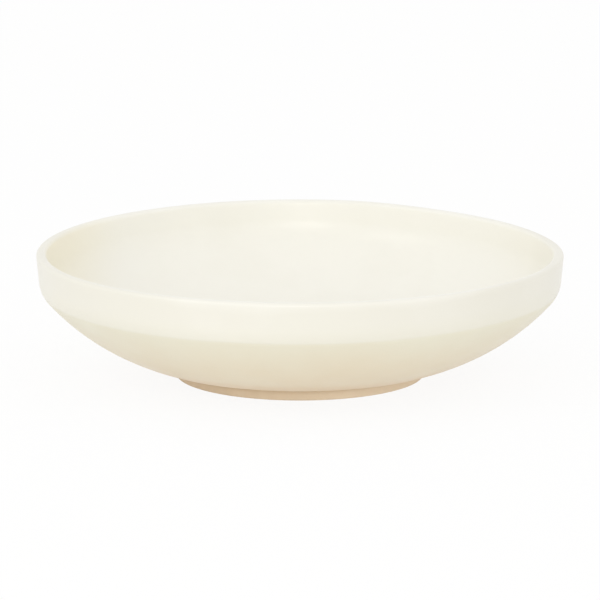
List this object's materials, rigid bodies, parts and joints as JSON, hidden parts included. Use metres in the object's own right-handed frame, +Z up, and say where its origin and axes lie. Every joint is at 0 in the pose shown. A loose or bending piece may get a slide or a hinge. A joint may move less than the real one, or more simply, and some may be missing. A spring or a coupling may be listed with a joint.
{
  "type": "low bowl",
  "caption": "Wide low stoneware bowl with an upright collar, a swelling lower wall and a short foot ring, dipped in two glazes, for serving food.",
  "frame": {"origin": "on the bowl's axis, in the plane that the foot ring stands on", "axes": "+Z up along the bowl's axis; the bowl is the same all round, so +X and +Y are any two level directions"},
  "size_m": [0.216, 0.216, 0.052],
  "materials": {
    "buff_clay": "fired buff stoneware, hidden under the glaze",
    "bare_foot_clay": "bare fired clay, dry and fine-grained, rubbed smooth at the standing edge",
    "white_glaze": "satin cream-white glaze",
    "sand_glaze": "satin sand glaze, thinner and warmer towards the foot",
    "well_sand_glaze": "satin sand glaze, wiped round its edge"
  },
  "bodies": {
    "root": {"clay_body": "buff_clay", "foot_ring": "bare_foot_clay", "upper_glaze": "white_glaze", "lower_glaze": "sand_glaze", "well_glaze": "well_sand_glaze"}
  },
  "joints": []
}
